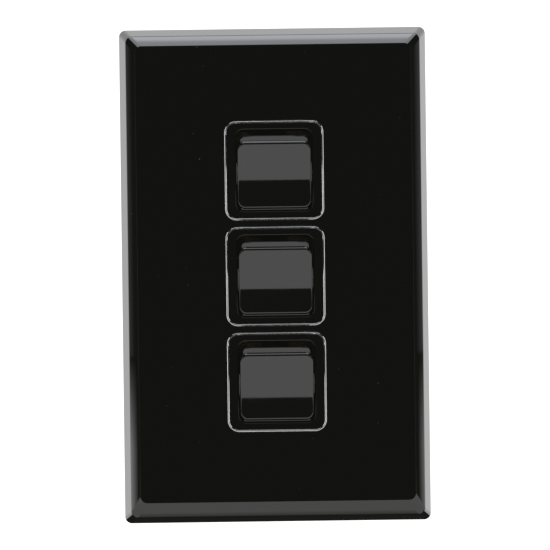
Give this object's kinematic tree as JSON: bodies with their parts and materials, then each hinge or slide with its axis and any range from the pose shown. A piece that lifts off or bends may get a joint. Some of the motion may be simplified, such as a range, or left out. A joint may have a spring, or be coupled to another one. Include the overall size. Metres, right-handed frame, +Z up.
{
  "type": "switch plate",
  "caption": "Vertical wall switch plate: bevelled gloss black pull-off cover over a grid, with bright trim rings, black bezels and concave rocker switches.",
  "frame": {"origin": "middle of the plate on the wall plane, where the grid's back rests", "axes": "+X right and +Z up as seen from the front; the front faces -Y, and the switch housings reach into the wall box along +Y"},
  "size_m": [0.072, 0.0295, 0.116],
  "materials": {
    "cover_black": "polished black, with a few fine wipe marks and dust specks",
    "bezel_black": "polished black",
    "key_black": "polished black",
    "trim_chrome": "bright plated plastic",
    "grid_grey": "moulded, fine matt grain",
    "housing_grey": "moulded, fine matt grain",
    "plunger_nylon": "smooth natural nylon",
    "spring_steel": "drawn wire",
    "blade_copper": "rolled phosphor bronze",
    "contact_silver": "turned silver alloy",
    "terminal_brass": "machined",
    "screw_steel": "zinc plated"
  },
  "bodies": {
    "grid": {"grid_plate": "grid_grey", "trim_ring_top": "trim_chrome", "trim_ring_middle": "trim_chrome", "trim_ring_bottom": "trim_chrome", "switch_bezel_top": "bezel_black", "switch_bezel_middle": "bezel_black", "switch_bezel_bottom": "bezel_black", "switch_body_top": "housing_grey", "switch_body_middle": "housing_grey", "switch_body_bottom": "housing_grey", "rear_cover_top": "housing_grey", "rear_cover_middle": "housing_grey", "rear_cover_bottom": "housing_grey", "fixed_contacts_top": "contact_silver", "fixed_contacts_middle": "contact_silver", "fixed_contacts_bottom": "contact_silver", "terminal_common_top": "terminal_brass", "terminal_common_middle": "terminal_brass", "terminal_common_bottom": "terminal_brass", "terminal_one_top": "terminal_brass", "terminal_one_middle": "terminal_brass", "terminal_one_bottom": "terminal_brass", "terminal_two_top": "terminal_brass", "terminal_two_middle": "terminal_brass", "terminal_two_bottom": "terminal_brass", "terminal_loop_top": "terminal_brass", "terminal_loop_middle": "terminal_brass", "terminal_loop_bottom": "terminal_brass", "terminal_screws_top": "screw_steel", "terminal_screws_middle": "screw_steel", "terminal_screws_bottom": "screw_steel"},
    "cover": {"cover_plate": "cover_black"},
    "rocker_top": {"rocker_top": "key_black", "plunger_spring_top": "spring_steel"},
    "plunger_top": {"plunger_top": "plunger_nylon"},
    "blade_top": {"contact_blade_top": "blade_copper", "blade_contacts_top": "contact_silver"},
    "rocker_middle": {"rocker_middle": "key_black", "plunger_spring_middle": "spring_steel"},
    "plunger_middle": {"plunger_middle": "plunger_nylon"},
    "blade_middle": {"contact_blade_middle": "blade_copper", "blade_contacts_middle": "contact_silver"},
    "rocker_bottom": {"rocker_bottom": "key_black", "plunger_spring_bottom": "spring_steel"},
    "plunger_bottom": {"plunger_bottom": "plunger_nylon"},
    "blade_bottom": {"contact_blade_bottom": "blade_copper", "blade_contacts_bottom": "contact_silver"}
  },
  "joints": [
    {"name": "cover_pull", "type": "slide", "parent": "grid", "child": "cover", "axis": [0, -1, 0], "range_m": [0, 0.03]},
    {"name": "rocker_top_tilt", "type": "hinge", "parent": "grid", "child": "rocker_top", "pos_m": [0, -0.0031, 0.0248], "axis": [-1, 0, 0], "range_deg": [0, 20]},
    {"name": "plunger_top_press", "type": "slide", "parent": "rocker_top", "child": "plunger_top", "axis": [0, 0.9848, 0.1736], "range_m": [-0.0008, 0], "stiffness_N_per_m": 300, "springref_m": 0.004, "deforming": ["plunger_spring_top"]},
    {"name": "blade_top_rock", "type": "hinge", "parent": "grid", "child": "blade_top", "pos_m": [0, 0.00575, 0.0248], "axis": [-1, 0, 0], "range_deg": [-8, 0]},
    {"name": "rocker_middle_tilt", "type": "hinge", "parent": "grid", "child": "rocker_middle", "pos_m": [0, -0.0031, 0], "axis": [-1, 0, 0], "range_deg": [0, 20]},
    {"name": "plunger_middle_press", "type": "slide", "parent": "rocker_middle", "child": "plunger_middle", "axis": [0, 0.9848, 0.1736], "range_m": [-0.0008, 0], "stiffness_N_per_m": 300, "springref_m": 0.004, "deforming": ["plunger_spring_middle"]},
    {"name": "blade_middle_rock", "type": "hinge", "parent": "grid", "child": "blade_middle", "pos_m": [0, 0.00575, 0], "axis": [-1, 0, 0], "range_deg": [-8, 0]},
    {"name": "rocker_bottom_tilt", "type": "hinge", "parent": "grid", "child": "rocker_bottom", "pos_m": [0, -0.0031, -0.0248], "axis": [-1, 0, 0], "range_deg": [0, 20]},
    {"name": "plunger_bottom_press", "type": "slide", "parent": "rocker_bottom", "child": "plunger_bottom", "axis": [0, 0.9848, 0.1736], "range_m": [-0.0008, 0], "stiffness_N_per_m": 300, "springref_m": 0.004, "deforming": ["plunger_spring_bottom"]},
    {"name": "blade_bottom_rock", "type": "hinge", "parent": "grid", "child": "blade_bottom", "pos_m": [0, 0.00575, -0.0248], "axis": [-1, 0, 0], "range_deg": [-8, 0]}
  ],
  "couplings": [
    {"joint": "blade_top_rock", "follows": "rocker_top_tilt", "ratio": -0.4},
    {"joint": "blade_middle_rock", "follows": "rocker_middle_tilt", "ratio": -0.4},
    {"joint": "blade_bottom_rock", "follows": "rocker_bottom_tilt", "ratio": -0.4}
  ]
}
